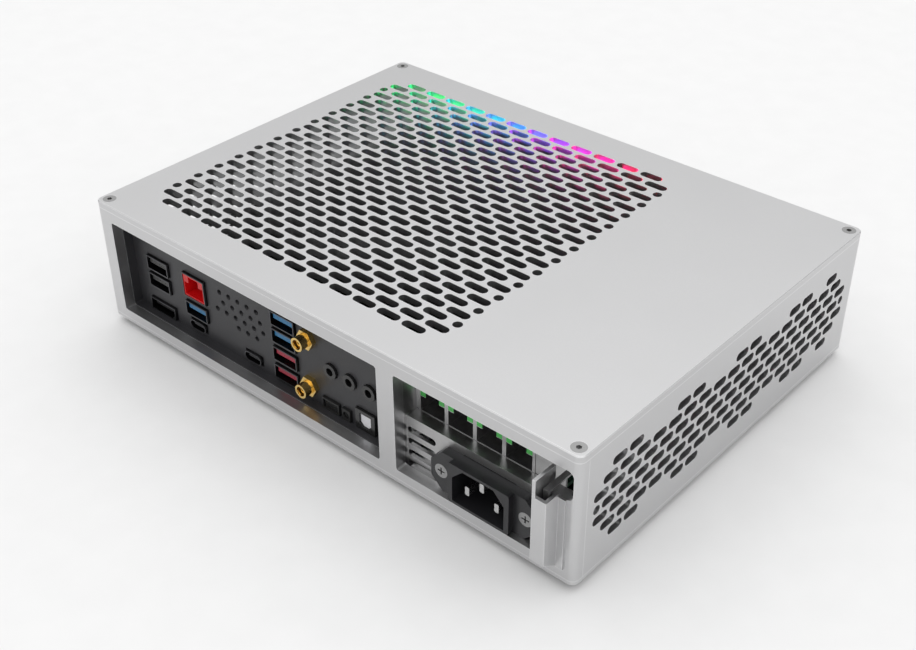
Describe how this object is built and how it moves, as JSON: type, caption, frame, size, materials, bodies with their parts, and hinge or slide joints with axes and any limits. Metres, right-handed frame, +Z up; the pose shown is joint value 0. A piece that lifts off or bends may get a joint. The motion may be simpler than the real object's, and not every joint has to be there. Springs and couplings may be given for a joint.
{
  "type": "mini pc",
  "caption": "Flat box-shaped mini desktop computer in a silver aluminium case with slotted vents, a recessed connector shield, an expansion bay and a mains inlet.",
  "frame": {"origin": "middle of the bounding box at the bottom of the feet", "axes": "+Z up; -Y out of the connector face; +X to the right as seen facing the connectors"},
  "size_m": [0.262, 0.2006, 0.0625],
  "materials": {
    "satin_aluminium": "bead-blasted, clear anodised",
    "bracket_steel": "plated sheet",
    "rubber_black": "matt",
    "screw_steel": "turned",
    "screw_black": "black oxide",
    "shield_black": "matt dark grey",
    "button_aluminium": "turned",
    "black_plastic": "moulded",
    "gloss_black": "moulded",
    "milky_plastic": "translucent",
    "board_black": "solder mask",
    "board_green": "solder mask",
    "brass_plain": "turned",
    "sink_black": "black anodised",
    "fan_plastic": "moulded",
    "grey_plastic": "moulded",
    "spreader_black": "black anodised",
    "light_bar": "milky, lit from inside",
    "socket_steel": "plated",
    "tongue_black": "moulded",
    "tongue_blue": "moulded",
    "tongue_red": "moulded",
    "liner_red": "moulded",
    "gold_plate": "gold plated",
    "shutter_white": "moulded",
    "jack_light": "translucent",
    "supply_grey": "anodised",
    "inlet_black": "moulded",
    "pin_silver": "nickel plated"
  },
  "bodies": {
    "root": {"antenna_jacks": "gold_plate", "antenna_nuts": "gold_plate", "audio_jacks": "gloss_black", "base_plate": "satin_aluminium", "base_screws": "screw_steel", "board_screws": "screw_steel", "bracket_shroud": "satin_aluminium", "button_housing": "black_plastic", "case_frame": "satin_aluminium", "cover_screws": "screw_steel", "cpu_cooler": "sink_black", "cpu_socket": "screw_steel", "display_port": "socket_steel", "expansion_slot": "black_plastic", "fan_frame": "black_plastic", "fan_screws": "screw_black", "feet": "rubber_black", "inlet_pins": "pin_silver", "inlet_screws": "screw_steel", "io_shield": "shield_black", "lan_insert": "liner_red", "lan_stack": "socket_steel", "memory_boards": "board_black", "memory_lights": "light_bar", "memory_slots": "black_plastic", "memory_spreaders": "spreader_black", "motherboard": "board_black", "nic_board": "board_green", "nic_bracket": "bracket_steel", "nic_heatsink": "sink_black", "nic_jacks": "bracket_steel", "nic_lights": "jack_light", "optical_housing": "gloss_black", "power_inlet": "inlet_black", "power_light": "milky_plastic", "power_socket": "black_plastic", "power_supply": "supply_grey", "power_switch": "black_plastic", "rear_bracket": "bracket_steel", "riser_card": "board_black", "riser_socket": "black_plastic", "ssd_heatsink": "sink_black", "standoffs": "brass_plain", "top_cover": "satin_aluminium", "usb2_stack": "socket_steel", "usb2_tongues": "tongue_black", "usb_c_ports": "socket_steel", "usb_stack": "socket_steel", "usb_tongues_blue": "tongue_blue", "usb_tongues_red": "tongue_red", "vrm_heatsink": "sink_black", "wifi_module": "socket_steel"},
    "power_button": {"power_button": "button_aluminium"},
    "fan": {"fan_rotor": "fan_plastic"},
    "bios_button": {"bios_button": "gloss_black"},
    "clear_cmos_button": {"clear_cmos_button": "gloss_black"},
    "optical_shutter": {"optical_shutter": "shutter_white"},
    "memory_latch_1": {"memory_latch_1": "grey_plastic"},
    "memory_latch_2": {"memory_latch_2": "grey_plastic"}
  },
  "joints": [
    {"name": "power_button_press", "type": "slide", "parent": "root", "child": "power_button", "axis": [0, -1, 0], "range_m": [0, 0.0012], "stiffness_N_per_m": 600, "springref_m": -0.0006},
    {"name": "fan_spin", "type": "hinge", "parent": "root", "child": "fan", "pos_m": [-0.043, -0.0027, 0.046], "axis": [0, 0, 1], "continuous": true},
    {"name": "bios_button_press", "type": "slide", "parent": "root", "child": "bios_button", "axis": [0, 1, 0], "range_m": [0, 0.0008], "stiffness_N_per_m": 500, "springref_m": -0.0005},
    {"name": "clear_cmos_press", "type": "slide", "parent": "root", "child": "clear_cmos_button", "axis": [0, 1, 0], "range_m": [0, 0.0008], "stiffness_N_per_m": 500, "springref_m": -0.0005},
    {"name": "optical_shutter_swing", "type": "hinge", "parent": "root", "child": "optical_shutter", "pos_m": [0.0216, -0.0835, 0.018], "axis": [1, 0, 0], "range_deg": [0, 80], "stiffness_Nm_per_rad": 0.0002, "springref_deg": -17.19},
    {"name": "memory_latch_1_swing", "type": "hinge", "parent": "root", "child": "memory_latch_1", "pos_m": [0.02965, 0.0738, 0.0185], "axis": [0, 1, 0], "range_deg": [0, 30]},
    {"name": "memory_latch_2_swing", "type": "hinge", "parent": "root", "child": "memory_latch_2", "pos_m": [0.02965, 0.0833, 0.0185], "axis": [0, 1, 0], "range_deg": [0, 30]}
  ]
}
